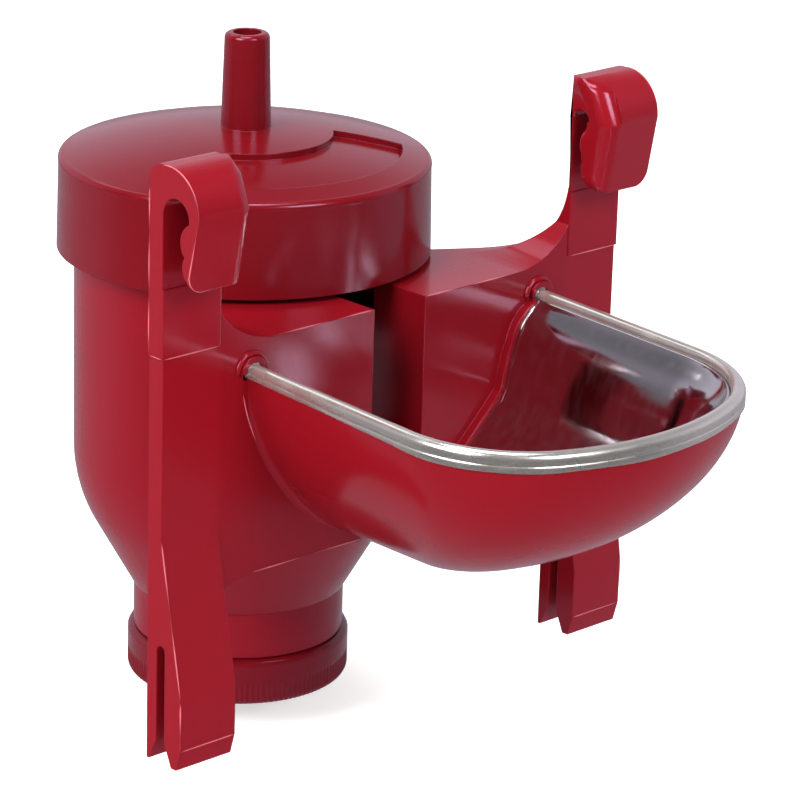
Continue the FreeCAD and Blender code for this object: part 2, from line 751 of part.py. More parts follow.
# Sockets in the panel for the folded steel edge, each under a raised arc
hem_half = bowl_half - rim_wall / 2
hem_arch = rim_wall / 2 + steel_play + steel + fold_step / 2
socket_arch = hem_arch + socket_play
socket_foot = hem_arch - rim_drop - hem_back - 2 * socket_play
collars = []
sockets = []
for name, side in (("Right", 1), ("Left", -1)):
    socket_x = (hem_half - fold_step / 2) * side
    arc = outline(name + "CollarArc", "front", face_y + tank_wall / 2, [
        (socket_x + collar_radius, -rim_drop),
        (socket_x, -rim_drop + collar_radius, collar_radius, 1),
        (socket_x - collar_radius, -rim_drop, collar_radius, 1),
    ])
    collars.append(prism(name + "Collar", arc, tank_wall / 2 + collar_proud))
    hole = outline(name + "SocketArch", "front", face_y + socket_depth, [
        (socket_x + socket_arch, -rim_drop),
        (socket_x, -rim_drop + socket_arch, socket_arch, 1),
        (socket_x - socket_arch, -rim_drop, socket_arch, 1),
        (socket_x - socket_arch, socket_foot),
        (socket_x + socket_arch, socket_foot),
    ])
    sockets.append(prism(name + "Socket", hole, socket_depth + collar_proud + past))

housing = cut("housing", joined("HousingSolid", [
    tank, wings, carrier, mirrored("CarrierLeft", carrier), bowl,
] + collars), joined("HousingRooms", [
    tank_room, wing_room, mirrored("WingRoomLeft", wing_room), channel, bowl_room, rib_room,
] + sockets))
housing.Label = "housing"

# Steel guard: a pressed sheet that lines the bowl and is folded over its rim
liner_shell = cut(
    "LinerShell",
    room_solid("GuardOuter", steel_play, face_y, zero),
    room_solid("GuardInner", steel_play + steel, bar_back, past),
)
liner = cut("Liner", liner_shell, guard_slab)

# The fold is drawn level: two straight sides, two corners and a front turn. Then it tilts with the rim.
fold_arch = hem_arch - steel
fold_out = fold_step / 2


def hem_section(name, plane, place, edge, out):
    def at(off):
        return edge + (off - fold_out) * out

    return outline(name, plane, place, [
        (at(hem_arch), zero),
        (at(zero), hem_arch, hem_arch, out),
        (at(-hem_arch), zero, hem_arch, out),
        (at(-hem_arch), -hem_lap),
        (at(-fold_arch), -hem_lap),
        (at(-fold_arch), zero),
        (at(zero), fold_arch, fold_arch, -out),
        (at(fold_arch), zero, fold_arch, -out),
        (at(fold_arch), -hem_front),
        (at(hem_arch), -hem_front),
    ])


def hem_turn(name, section, axis_x, axis_y, angle):
    solid = doc.addObject("Part::Revolution", name)
    solid.Source = section
    solid.Axis = -upright
    solid.Solid = True
    bind(solid, "Base.x", axis_x)
    bind(solid, "Base.y", axis_y)
    bind(solid, "Angle", angle)
    return solid


hem_end = face_y + hem_tail
hem_tip = face_y - bowl_reach + rim_wall / 2 + steel_play
hem_corner = corner_share * hem_half
hem_round = front_share * hem_half
corner_x = hem_half - hem_corner
between = hem_round - hem_corner
corner_y = hem_tip + hem_round - root(between * between - corner_x * corner_x)
side_section = hem_section("HemSideSection", "front", hem_end, hem_half, 1)
turn_section = hem_section("HemCornerSection", "front", corner_y, hem_half, 1)
front_section = hem_section("HemFrontSection", "side", zero, hem_tip, -1)
hem_side = prism("HemSide", side_section, hem_end - corner_y)
hem_bend = hem_turn("HemCorner", turn_section, corner_x, corner_y, arc_cosine(corner_x / between))
front_angle = 2 * arc_sine(corner_x / between)
hem_front_bend = hem_turn("HemFront", front_section, zero, hem_tip + hem_round, front_angle)
hem_front_bend.Symmetric = True
hem_ring = joined("HemRing", [
    hem_side, hem_bend, hem_front_bend,
    mirrored("HemSideLeft", hem_side), mirrored("HemCornerLeft", hem_bend),
])
hem = common("Hem", [tilt(hem_ring), above_plane("HemTrim", hem_arch - hem_back, hem_front - hem_back)])
steel_guard = joined("steel_guard", [liner, hem])
steel_guard.Label = "steel_guard"

# Lid: dome, rounded edge, skirt, hose spigot, and the boss that holds the jet
dome_radius = (lid_radius * lid_radius + dome_rise * dome_rise) / (2 * dome_rise)
dome_centre = lid_top_z + dome_rise - dome_radius


def dome_z(r, lift):
    radius = dome_radius + lift
    return dome_centre + root(radius * radius - r * r)


edge_r = lid_radius - lid_edge
skirt_z = lid_top_z - skirt_height
spigot_z = lid_top_z + dome_rise + spigot_height
ceiling_r = lid_radius - skirt_wall
jet_top = -jet_boss_drop + jet_length
lid = turned_body("lid", [
    (spigot_bore, spigot_z),
    (spigot_bore, jet_top),
    (jet_radius + jet_play, jet_top),
    (jet_radius + jet_play, -jet_boss_drop),
    (jet_boss, -jet_boss_drop),
    (jet_boss, dome_z(jet_boss, -lid_top_wall)),
    (ceiling_r - lid_top_wall, mouth_z, dome_radius - lid_top_wall, -1),
    (ceiling_r, mouth_z),
    (lid_foot - skirt_wall, skirt_z),
    (lid_foot, skirt_z),
    (lid_radius, lid_top_z - lid_edge),
    (edge_r, dome_z(edge_r, 0), lid_edge, 1),
    (spigot_root, dome_z(spigot_root, 0), dome_radius, 1),
    (spigot_tip, spigot_z - spigot_bevel),
    (spigot_tip - spigot_bevel, spigot_z, spigot_bevel, 1),
])
recess_sketch = body_sketch(lid, "side", "RecessProfile", [
    (-recess_inner, dome_z(recess_inner, -recess_depth)),
    (-recess_outer, dome_z(recess_outer, -recess_depth), dome_radius - recess_depth, 1),
    (-recess_outer, lid_top_z + dome_rise + past),
    (-recess_inner, lid_top_z + dome_rise + past),
])
recess = lid.newObject("PartDesign::Groove", "Recess")
recess.Profile = recess_sketch
recess.ReferenceAxis = (axis_of(lid), [""])
recess.Midplane = True
bind(recess, "Angle", recess_angle)

# Valve jet, pressed into the boss from below
nose_z = -jet_boss_drop - jet_flange_height - jet_nose_height
jet = turned_body("valve_jet", [
    (jet_bore, nose_z),
    (jet_nose, nose_z),
    (jet_nose + jet_nose_height / 2, -jet_boss_drop - jet_flange_height),
    (jet_flange, -jet_boss_drop - jet_flange_height),
    (jet_flange, -jet_boss_drop),
    (jet_radius, -jet_boss_drop),
    (jet_radius, jet_top),
    (jet_bore * 2, jet_top),
    (jet_bore, jet_top - jet_length / 2),
])

# Guide: a tube that grips the boss, with four windows for the water and a plate that steers the stem
guide_inner = jet_boss + jet_play
guide_z = -guide_drop
plate_z = guide_z + guide_floor
guide = turned_body("valve_guide", [
    (stem_radius + stem_play, guide_z),
    (guide_inner + guide_wall, guide_z),
    (guide_inner + guide_wall, -jet_boss_drop + guide_grip),
    (guide_inner, -jet_boss_drop + guide_grip),
    (guide_inner, plate_z),
    (stem_radius + stem_play, plate_z),
])
window_z = plate_z + window_base
window_sketch = body_sketch(guide, "front", "WindowProfile", [
    (window_width / 2, window_z),
    (window_width / 2, window_z + window_height),
    (-window_width / 2, window_z + window_height),
    (-window_width / 2, window_z),
])
window = guide.newObject("PartDesign::Pocket", "Window")
window.Profile = window_sketch
window.Type = 1
window.Midplane = True
windows = guide.newObject("PartDesign::PolarPattern", "Windows")
windows.Originals = [window]
windows.Axis = (axis_of(guide), [""])
windows.Angle = 90
windows.Occurrences = 2
guide.Tip = windows

# Pad holder and rubber pad on the float's stem
holder_z = plate_z + stop_play
holder_top = holder_z + holder_height
pad_z = holder_top + pad_proud - pad_height
turned_body("pad_holder", [
    (zero, holder_z + stem_top + jet_play),
    (stem_radius + jet_play, holder_z + stem_top + jet_play),
    (stem_radius + jet_play, holder_z),
    (holder_radius, holder_z),
    (holder_radius, holder_top),
    (pad_radius + jet_play, holder_top),
    (pad_radius + jet_play, pad_z - jet_play),
    (zero, pad_z - jet_play),
])
turned_body("valve_pad", [
    (zero, pad_z),
    (pad_radius, pad_z),
    (pad_radius, pad_z + pad_height),
    (zero, pad_z + pad_height),
])

# Float: a stem in the boss of a cover that closes a hollow shell
float_z = -float_drop
cover_z = float_z - float_wall
stem_end = float_z - stem_foot
stem = turned_body("float_stem", [
    (zero, stem_end),
    (stem_radius, stem_end),
    (stem_radius, holder_z + stem_top),
    (zero, holder_z + stem_top),
])
shell_inner = float_radius - float_wall
turned_body("float_cover", [
    (zero, stem_end - jet_play - float_wall),
    (stem_boss, stem_end - jet_play - float_wall),
    (stem_boss, cover_z),
    (shell_inner - jet_play - float_wall, cover_z),
    (shell_inner - jet_play - float_wall, cover_z - cover_step),
    (shell_inner - jet_play, cover_z - cover_step),
    (shell_inner - jet_play, cover_z),
    (float_radius, cover_z),
    (float_radius, float_z),
    (stem_radius + jet_play, float_z),
    (stem_radius + jet_play, stem_end - jet_play),
    (zero, stem_end - jet_play),
])
shell_end = float_z - float_height
inner_edge = float_edge - float_wall
turned_body("float_shell", [
    (zero, shell_end),
    (float_radius - float_edge, shell_end),
    (float_radius, shell_end + float_edge, float_edge, 1),
    (float_radius, cover_z - jet_play),
    (shell_inner, cover_z - jet_play),
    (shell_inner, shell_end + float_edge),
    (shell_inner - inner_edge, shell_end + float_wall, inner_edge, -1),
    (zero, shell_end + float_wall),
])

# Screw cap with a fluted rim, and the gasket on its floor under the neck's end
cap_top = spout_z - cap_gap
gasket_z = spout_end - face_play - gasket_height
cap_floor = gasket_z - face_play
cap_end = cap_floor - cap_wall
cap_inner = spout_radius + cap_play
cap = turned_body("bottom_cap", [
    (zero, cap_end),
    (cap_radius - cap_edge, cap_end),
    (cap_radius, cap_end + cap_edge, cap_edge, 1),
    (cap_radius, cap_top - cap_shoulder),
    (cap_radius - cap_shoulder, cap_top),
    (cap_inner, cap_top),
    (cap_inner, cap_floor),
    (zero, cap_floor),
])
groove_sketch = body_sketch(cap, "top", "GripProfile", [
    (grip_width / 2, -cap_radius - past / 5),
    (zero, -cap_radius + grip_depth),
    (-grip_width / 2, -cap_radius - past / 5),
])
groove = cap.newObject("PartDesign::Pocket", "Grip")
groove.Profile = groove_sketch
groove.Type = 1
grooves = cap.newObject("PartDesign::PolarPattern", "Grips")
grooves.Originals = [groove]
grooves.Axis = (axis_of(cap), [""])
grooves.Angle = 360
bind(grooves, "Occurrences", grip_count)
cap.Tip = grooves
turned_body("cap_gasket", [
    (gasket_hole, gasket_z),
    (spout_radius, gasket_z),
    (spout_radius, gasket_z + gasket_height),
    (gasket_hole, gasket_z + gasket_height),
])

nodes = [
    "housing", "steel_guard", "lid", "valve_jet", "valve_guide", "pad_holder", "valve_pad",
    "float_stem", "float_cover", "float_shell", "bottom_cap", "cap_gasket",
]
doc.recompute()
failed = [item.Name for item in doc.Objects if "Invalid" in item.State or "Error" in item.State]
if failed:
    raise RuntimeError(f"these failed: {failed}")
os.makedirs("parts", exist_ok=True)
for node in nodes:
    item = doc.getObjectsByLabel(node)[0]
    shape = item.Shape
    if shape.isNull() or not shape.isValid() or len(shape.Solids) != 1:
        raise RuntimeError(f"{node} is not one sound solid")
    shape.exportStep(f"parts/{node}.step")
    box = shape.BoundBox
    print(f"{node}: {shape.Volume:.0f} mm3, z {box.ZMin:.2f} to {box.ZMax:.2f}")
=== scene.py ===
import math

import bmesh
import bpy
import numpy as np
from mathutils import Matrix, Vector


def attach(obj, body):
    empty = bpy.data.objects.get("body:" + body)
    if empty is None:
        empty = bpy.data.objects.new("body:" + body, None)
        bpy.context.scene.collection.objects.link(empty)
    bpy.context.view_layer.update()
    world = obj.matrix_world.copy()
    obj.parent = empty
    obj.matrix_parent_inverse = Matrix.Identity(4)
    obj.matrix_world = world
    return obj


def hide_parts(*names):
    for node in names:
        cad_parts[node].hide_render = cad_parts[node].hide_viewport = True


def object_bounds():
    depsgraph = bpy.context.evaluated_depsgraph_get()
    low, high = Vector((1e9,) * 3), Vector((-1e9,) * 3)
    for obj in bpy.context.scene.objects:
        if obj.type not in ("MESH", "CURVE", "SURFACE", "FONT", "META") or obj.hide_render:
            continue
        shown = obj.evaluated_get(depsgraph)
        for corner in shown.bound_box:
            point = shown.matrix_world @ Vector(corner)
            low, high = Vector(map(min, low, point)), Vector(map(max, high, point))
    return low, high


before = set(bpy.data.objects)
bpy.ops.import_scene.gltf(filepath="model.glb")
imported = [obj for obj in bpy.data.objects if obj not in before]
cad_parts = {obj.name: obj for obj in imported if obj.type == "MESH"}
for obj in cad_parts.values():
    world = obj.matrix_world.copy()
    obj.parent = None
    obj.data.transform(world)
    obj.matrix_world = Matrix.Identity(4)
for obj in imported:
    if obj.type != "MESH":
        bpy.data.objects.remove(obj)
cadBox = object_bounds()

print("frame loaded:", len(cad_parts), "nodes")
mm = 0.001
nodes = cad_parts


def toLinear(hexColour):
    parts = [int(hexColour[i:i + 2], 16) / 255 for i in (1, 3, 5)]
    linear = [c / 12.92 if c <= 0.04045 else ((c + 0.055) / 1.055) ** 2.4 for c in parts]
    return (*linear, 1.0)


# Adds a node, sets its properties or its sockets' values, and links its sockets to others
def addNode(tree, kind, settings=None, links=None):
    node = tree.nodes.new(kind)
    for key, value in (settings or {}).items():
        if hasattr(node, key):
            setattr(node, key, value)
        else:
            node.inputs[key].default_value = value
    for key, source in (links or {}).items():
        tree.links.new(source, node.inputs[key])
    return node


# Camera, light and floor
view = {
    "turn": 43.85,             # degrees that the camera stands to the left of straight ahead
    "rise": 19.02,             # degrees above level
    "roll": 1.73,              # degrees that the picture is turned clockwise
    "distance": 838.56 * mm,
    "aim": (45.70 * mm, 48.75 * mm, -72.59 * mm),
    "lens": 174.27,
    "sensor": 36,
    "clip": (0.01, 20),
}
lamps = {
    "left": {"at": (-1.05, -0.05, 0.75), "size": 0.7, "watts": 17.0},
    "front": {"at": (-0.05, -1.25, 0.80), "size": 0.55, "watts": 10.8},
    "top": {"at": (-0.05, 0.10, 1.25), "size": 0.6, "watts": 10.5},
    "back": {"at": (0.10, 0.95, 1.0), "size": 0.5, "watts": 1.1},
}
room = {
    "light": 0.26,
    "sheetColour": "#f6eeff",
    "sheetLight": 0.72,          # white sheet behind the object, as glossy surfaces see it
    "sheetTop": (0.30, 0.95),    # sine of the angle above level where it starts to fade and ends
    "sheetSide": (-0.25, 0.30),  # share of a direction that points away from the camera, likewise
    "roomLight": 0.07,           # the rest of the room
}
paper = {
    "drop": 6.4 * mm,            # below the object, which leaves room for the cap as it is screwed off
    "half": 3.0,
    "colour": "#f4f4f3",
    "glow": 0.62,                # light that the camera sees on it besides the lamps'
    "mirror": (0.05, 0.42),      # ahead of the object and behind it, as glossy surfaces see it
    "turn": (-0.16, 0.08),       # metres away from the camera over which that changes
}


def awayFromCamera():
    turn = math.radians(view["turn"])
    return (math.sin(turn), math.cos(turn), 0)


def setCamera():
    turn, rise, roll = (math.radians(view[key]) for key in ("turn", "rise", "roll"))
    back = Vector((-math.sin(turn) * math.cos(rise), -math.cos(turn) * math.cos(rise), math.sin(rise)))
    side = Vector((math.cos(turn), -math.sin(turn), 0))
    up = back.cross(side)
    right = side * math.cos(roll) + up * math.sin(roll)
    over = up * math.cos(roll) - side * math.sin(roll)
    spot = Vector(view["aim"]) + back * view["distance"]
    data = bpy.data.cameras.new("photoCamera")
    data.lens = view["lens"]
    data.sensor_width = view["sensor"]
    data.clip_start, data.clip_end = view["clip"]
    camera = bpy.data.objects.new("photoCamera", data)
    bpy.context.scene.collection.objects.link(camera)
    camera.matrix_world = Matrix((
        (right.x, over.x, back.x, spot.x),
        (right.y, over.y, back.y, spot.y),
        (right.z, over.z, back.z, spot.z),
        (0, 0, 0, 1),
    ))
    bpy.context.scene.camera = camera


def setLamps():
    middle = (Vector(cadBox[0]) + Vector(cadBox[1])) / 2
    for name, lamp in lamps.items():
        light = bpy.data.lights.new(name, "AREA")
        light.shape = "SQUARE"
        light.size = lamp["size"]
        light.energy = lamp["watts"]
        holder = bpy.data.objects.new(name, light)
        bpy.context.scene.collection.objects.link(holder)
        holder.location = lamp["at"]
        holder.rotation_euler = (middle - Vector(lamp["at"])).to_track_quat("-Z", "Y").to_euler()


# White to the camera, a soft light on the object, and in reflections a white sheet in a dark room
def setRoom():
    world = bpy.data.worlds.new("paleStudio")
    bpy.context.scene.world = world
    world.use_nodes = True
    tree = world.node_tree
    tree.nodes.clear()
    white = toLinear("#ffffff")
    path = addNode(tree, "ShaderNodeLightPath")
    seen = addNode(tree, "ShaderNodeMath", {"operation": "MAXIMUM"}, {
        0: path.outputs["Is Camera Ray"], 1: path.outputs["Is Transmission Ray"]})
    way = addNode(tree, "ShaderNodeTexCoord").outputs["Generated"]
    height = addNode(tree, "ShaderNodeSeparateXYZ", links={"Vector": way}).outputs["Z"]
    away = addNode(tree, "ShaderNodeVectorMath", {"operation": "DOT_PRODUCT"}, {0: way})
    away.inputs[1].default_value = awayFromCamera()
    behind = addNode(tree, "ShaderNodeMapRange", {
        "interpolation_type": "SMOOTHSTEP",
        "From Min": room["sheetSide"][0], "From Max": room["sheetSide"][1],
    }, {"Value": away.outputs["Value"]})
    low = addNode(tree, "ShaderNodeMapRange", {
        "interpolation_type": "SMOOTHSTEP",
        "From Min": room["sheetTop"][0], "From Max": room["sheetTop"][1], "To Min": 1.0, "To Max": 0.0,
    }, {"Value": height})
    share = addNode(tree, "ShaderNodeMath", {"operation": "MULTIPLY"}, {
        0: behind.outputs[0], 1: low.outputs[0]})
    strength = addNode(tree, "ShaderNodeMapRange", {
        "To Min": room["roomLight"], "To Max": room["sheetLight"]}, {"Value": share.outputs[0]})
    soft = addNode(tree, "ShaderNodeBackground", {"Color": white, "Strength": room["light"]})
    sheet = addNode(tree, "ShaderNodeBackground", {"Color": toLinear(room["sheetColour"])}, {
        "Strength": strength.outputs[0]})
    plain = addNode(tree, "ShaderNodeBackground", {"Color": white, "Strength": 1.0})
    lit = addNode(tree, "ShaderNodeMixShader", links={
        0: path.outputs["Is Glossy Ray"], 1: soft.outputs[0], 2: sheet.outputs[0]})
    mixed = addNode(tree, "ShaderNodeMixShader", links={
        0: seen.outputs[0], 1: lit.outputs[0], 2: plain.outputs[0]})
    addNode(tree, "ShaderNodeOutputWorld", links={"Surface": mixed.outputs[0]})


# Matt paper, paler to the camera; in reflections it is dark ahead of the object and pale behind it
def setFloor():
    half = paper["half"]
    z = cadBox[0][2] - paper["drop"]
    corners = [(-half, -half, z), (half, -half, z), (half, half, z), (-half, half, z)]
    mesh = bpy.data.meshes.new("floor")
    mesh.from_pydata(corners, [], [(0, 1, 2, 3)])
    floor = bpy.data.objects.new("floor", mesh)
    bpy.context.scene.collection.objects.link(floor)
    material, tree = newMaterial("palePaper")
    path = addNode(tree, "ShaderNodeLightPath")
    matt = addNode(tree, "ShaderNodeBsdfDiffuse", {"Color": toLinear(paper["colour"])})
    glow = addNode(tree, "ShaderNodeEmission", {"Color": toLinear("#ffffff"), "Strength": paper["glow"]})
    pale = addNode(tree, "ShaderNodeAddShader", links={0: matt.outputs[0], 1: glow.outputs[0]})
    place = addNode(tree, "ShaderNodeTexCoord").outputs["Object"]
    away = addNode(tree, "ShaderNodeVectorMath", {"operation": "DOT_PRODUCT"}, {0: place})
    away.inputs[1].default_value = awayFromCamera()
    strength = addNode(tree, "ShaderNodeMapRange", {
        "interpolation_type": "SMOOTHSTEP",
        "From Min": paper["turn"][0], "From Max": paper["turn"][1],
        "To Min": paper["mirror"][0], "To Max": paper["mirror"][1],
    }, {"Value": away.outputs["Value"]})
    mirrored = addNode(tree, "ShaderNodeEmission", {"Color": toLinear(room["sheetColour"])}, {
        "Strength": strength.outputs[0]})
    unseen = addNode(tree, "ShaderNodeMixShader", links={
        0: path.outputs["Is Glossy Ray"], 1: matt.outputs[0], 2: mirrored.outputs[0]})
    mixed = addNode(tree, "ShaderNodeMixShader", links={
        0: path.outputs["Is Camera Ray"], 1: unseen.outputs[0], 2: pale.outputs[0]})
    addNode(tree, "ShaderNodeOutputMaterial", links={"Surface": mixed.outputs[0]})
    mesh.materials.append(material)


# Materials. marks and upright are the grain's size and its stretch along the height, edge rounds sharp edges.
finishes = {
    "cherry": {
        "colour": "#8b101c", "deep": "#830d17", "roughness": 0.17, "edge": 0.3 * mm, "gleam": "#f0d6ff",
        "bars": "#8c101b",                     # painted light: the same plastic out on the bars, painted a little paler and plain for light shining through the thin plastic
        "barsFrom": (45.5 * mm, 47.5 * mm),
    },
    # painted shade: the lid and cap get a darker copy of the cherry plastic, for the lesser light that falls on
    # them
    "shadedLidCherry": {"colour": "#760e17", "deep": "#6e0c13", "roughness": 0.17, "edge": 0.3 * mm, "gleam": "#f0d6ff"},
    # painted highlight: the flash ridges are coloured pale pink for the bright edges they catch
    "flashHighlight": {"colour": "#d8707e", "deep": "#d8707e", "roughness": 0.35, "edge": 0.25 * mm, "gleam": "#ffffff"},
    "white": {"colour": "#dfded8", "deep": "#dfded8", "roughness": 0.42, "edge": 0.25 * mm, "gleam": "#ffffff"},
    "steel": {"colour": "#c9c8ca", "roughness": 0.12, "metal": 1.0, "marks": 1.6 * mm, "upright": 0.1},
    "rim": {"colour": "#d3d0ca", "roughness": 0.24, "metal": 0.84, "marks": 6 * mm, "upright": 1.0},
    "brass": {"colour": "#c9a35a", "roughness": 0.28},
    "rubber": {"colour": "#1b1b1c", "roughness": 0.62},
}
plastic = {
    "flow": 28 * mm,           # size of the cloudy patches
    "ripple": 9 * mm,          # slight waves where the moulding shrank
    "rippleDepth": 0.4 * mm,
    "rippleStrength": 0.04,
    "grain": 0.9 * mm,         # drawn coarser than the tool's polish, so that it shows
    "grainDepth": 0.05 * mm,
    "grainStrength": 0.02,
}
sheetMetal = {"wave": 9 * mm, "waveDepth": 0.4 * mm, "waveStrength": 0.08}
turning = {"ring": 2.4 * mm, "depth": 0.03 * mm, "strength": 0.15}
dust = {"grain": 0.6 * mm, "depth": 0.05 * mm, "strength": 0.2}


def newMaterial(name):
    material = bpy.data.materials.new(name)
    material.use_nodes = True
    material.node_tree.nodes.clear()
    return material, material.node_tree


# Polypropylene, injection moulded in a polished tool: glossy, a little cloudy, with faint flow marks
def mouldedPlastic(name, finish):
    material, tree = newMaterial(name)
    place = addNode(tree, "ShaderNodeTexCoord").outputs["Object"]
    flow = addNode(tree, "ShaderNodeTexNoise", {
        "Scale": 1 / plastic["flow"], "Detail": 2.0, "Roughness": 0.5}, {"Vector": place})
    shade = addNode(tree, "ShaderNodeMix", {"data_type": "RGBA"}, {0: flow.outputs["Fac"]})
    shade.inputs[6].default_value = toLinear(finish["deep"])
    shade.inputs[7].default_value = toLinear(finish["colour"])
    # painted light: out on the bars the colour turns a little paler, standing in for light shining through the thin
    # plastic
    if "bars" in finish:
        across = addNode(tree, "ShaderNodeSeparateXYZ", links={"Vector": place}).outputs["X"]
        out = addNode(tree, "ShaderNodeMath", {"operation": "ABSOLUTE"}, {0: across})
        paintedBarsLight = addNode(tree, "ShaderNodeMapRange", {
            "interpolation_type": "SMOOTHSTEP",
            "From Min": finish["barsFrom"][0], "From Max": finish["barsFrom"][1],
        }, {"Value": out.outputs[0]})
        shade = addNode(tree, "ShaderNodeMix", {"data_type": "RGBA"}, {
            0: paintedBarsLight.outputs[0], 6: shade.outputs[2]})
        shade.inputs[7].default_value = toLinear(finish["bars"])
    grain = addNode(tree, "ShaderNodeTexNoise", {
        "Scale": 1 / plastic["grain"], "Detail": 3.0, "Roughness": 0.55}, {"Vector": place})
    ripple = addNode(tree, "ShaderNodeTexNoise", {"Scale": 1 / plastic["ripple"], "Detail": 1.0}, {"Vector": place})
    gloss = addNode(tree, "ShaderNodeMapRange", {
        "From Min": 0.3, "From Max": 0.7,
        "To Min": finish["roughness"] * 0.8, "To Max": finish["roughness"] * 1.25,
    }, {"Value": grain.outputs["Fac"]})
    rounded = addNode(tree, "ShaderNodeBevel", {"samples": 6, "Radius": finish["edge"]})
    wave = addNode(tree, "ShaderNodeBump", {
        "Strength": plastic["rippleStrength"], "Distance": plastic["rippleDepth"],
    }, {"Height": ripple.outputs["Fac"], "Normal": rounded.outputs[0]})
    skin = addNode(tree, "ShaderNodeBump", {
        "Strength": plastic["grainStrength"], "Distance": plastic["grainDepth"],
    }, {"Height": grain.outputs["Fac"], "Normal": wave.outputs[0]})
    surface = addNode(tree, "ShaderNodeBsdfPrincipled", {
        "IOR": 1.49, "Specular Tint": toLinear(finish["gleam"]),
    }, {"Base Color": shade.outputs[2], "Roughness": gloss.outputs[0], "Normal": skin.outputs[0]})
    addNode(tree, "ShaderNodeOutputMaterial", links={"Surface": surface.outputs[0]})
    return material


# Stainless sheet, deep drawn and bright: a clear mirror with fine draw marks and slight waves
def drawnSteel(name, finish):
    material, tree = newMaterial(name)
    place = addNode(tree, "ShaderNodeTexCoord").outputs["Object"]
    marks = addNode(tree, "ShaderNodeMapping", {"Scale": (1.0, 1.0, finish["upright"])}, {"Vector": place})
    fine = addNode(tree, "ShaderNodeTexNoise", {
        "Scale": 1 / finish["marks"], "Detail": 1.0}, {"Vector": marks.outputs[0]})
    broad = addNode(tree, "ShaderNodeTexNoise", {"Scale": 1 / sheetMetal["wave"], "Detail": 1.0}, {"Vector": place})
    gloss = addNode(tree, "ShaderNodeMapRange", {
        "From Min": 0.25, "From Max": 0.75,
        "To Min": finish["roughness"] * 0.75, "To Max": finish["roughness"] * 1.4,
    }, {"Value": fine.outputs["Fac"]})
    wave = addNode(tree, "ShaderNodeBump", {
        "Strength": sheetMetal["waveStrength"], "Distance": sheetMetal["waveDepth"],
    }, {"Height": broad.outputs["Fac"]})
    surface = addNode(tree, "ShaderNodeBsdfPrincipled", {
        "Base Color": toLinear(finish["colour"]), "Metallic": finish["metal"],
    }, {"Roughness": gloss.outputs[0], "Normal": wave.outputs[0]})
    addNode(tree, "ShaderNodeOutputMaterial", links={"Surface": surface.outputs[0]})
    return material


# Brass turned from bar: fine rings round the upright axis
def turnedBrass(name, finish):
    material, tree = newMaterial(name)
    place = addNode(tree, "ShaderNodeTexCoord").outputs["Object"]
    rings = addNode(tree, "ShaderNodeTexWave", {
        "wave_type": "BANDS", "bands_direction": "Z",
        "Scale": 1 / turning["ring"], "Distortion": 0.6, "Detail": 2.0,
    }, {"Vector": place})
    gloss = addNode(tree, "ShaderNodeMapRange", {
        "To Min": finish["roughness"] * 0.8, "To Max": finish["roughness"] * 1.3,
    }, {"Value": rings.outputs["Fac"]})
    bump = addNode(tree, "ShaderNodeBump", {
        "Strength": turning["strength"], "Distance": turning["depth"]}, {"Height": rings.outputs["Fac"]})
    surface = addNode(tree, "ShaderNodeBsdfPrincipled", {
        "Base Color": toLinear(finish["colour"]), "Metallic": 1.0,
    }, {"Roughness": gloss.outputs[0], "Normal": bump.outputs[0]})
    addNode(tree, "ShaderNodeOutputMaterial", links={"Surface": surface.outputs[0]})
    return material


# Nitrile rubber, compression moulded: matt black with a fine dusty grain
def mouldedRubber(name, finish):
    material, tree = newMaterial(name)
    place = addNode(tree, "ShaderNodeTexCoord").outputs["Object"]
    grain = addNode(tree, "ShaderNodeTexNoise", {"Scale": 1 / dust["grain"], "Detail": 4.0}, {"Vector": place})
    gloss = addNode(tree, "ShaderNodeMapRange", {
        "To Min": finish["roughness"] * 0.85, "To Max": finish["roughness"] * 1.2,
    }, {"Value": grain.outputs["Fac"]})
    bump = addNode(tree, "ShaderNodeBump", {
        "Strength": dust["strength"], "Distance": dust["depth"]}, {"Height": grain.outputs["Fac"]})
    surface = addNode(tree, "ShaderNodeBsdfPrincipled", {
        "Base Color": toLinear(finish["colour"]), "IOR": 1.5,
    }, {"Roughness": gloss.outputs[0], "Normal": bump.outputs[0]})
    addNode(tree, "ShaderNodeOutputMaterial", links={"Surface": surface.outputs[0]})
    return material


# Skins of the two large mouldings: copies of the solids' meshes, welded and smoothed
skins = {
    "weld": 0.002 * mm,
    "smooth": {"housing": 28, "lid": 32},  # degrees; faces that meet at more keep a sharp edge
}
hookRounding = {
    "above": -14.6 * mm,       # the hooks are what lies above this height and beyond this width
    "beyond": 46 * mm,
    "side": 46.95 * mm,        # inner side, whose outline is rounded ahead of this depth
    "ahead": 5 * mm,
    "smooth": 56,
    "flat": 0.6,
    "radius": 0.9 * mm,
    "facets": 3,
}


# Flat regions of the hooks are merged, then the outline of each inner side gets a band of facets
def roundHooks(grid):
    def inHook(vert):
        return vert.co.z > hookRounding["above"] and abs(vert.co.x) > hookRounding["beyond"]

    def onInnerSide(vert):
        return (
            inHook(vert) and vert.co.y < hookRounding["ahead"]
            and abs(abs(vert.co.x) - hookRounding["side"]) < 0.01 * mm
        )

    edges = [edge for edge in grid.edges if all(inHook(vert) for vert in edge.verts)]
    for edge in edges:
        edge.smooth = edge.calc_face_angle(math.pi) < math.radians(hookRounding["smooth"])
    verts = list({vert for edge in edges for vert in edge.verts})
    bmesh.ops.dissolve_limit(
        grid, angle_limit=math.radians(hookRounding["flat"]), use_dissolve_boundaries=False,
        verts=verts, edges=edges, delimit={"SHARP"})
    outline = [
        edge for edge in grid.edges
        if not edge.smooth and all(onInnerSide(vert) for vert in edge.verts)
        and sum(not other.smooth for vert in edge.verts for other in vert.link_edges) == 4
    ]
    bmesh.ops.bevel(
        grid, geom=outline, offset=hookRounding["radius"], offset_type="OFFSET",
        segments=hookRounding["facets"], profile=0.5, affect="EDGES", clamp_overlap=False)


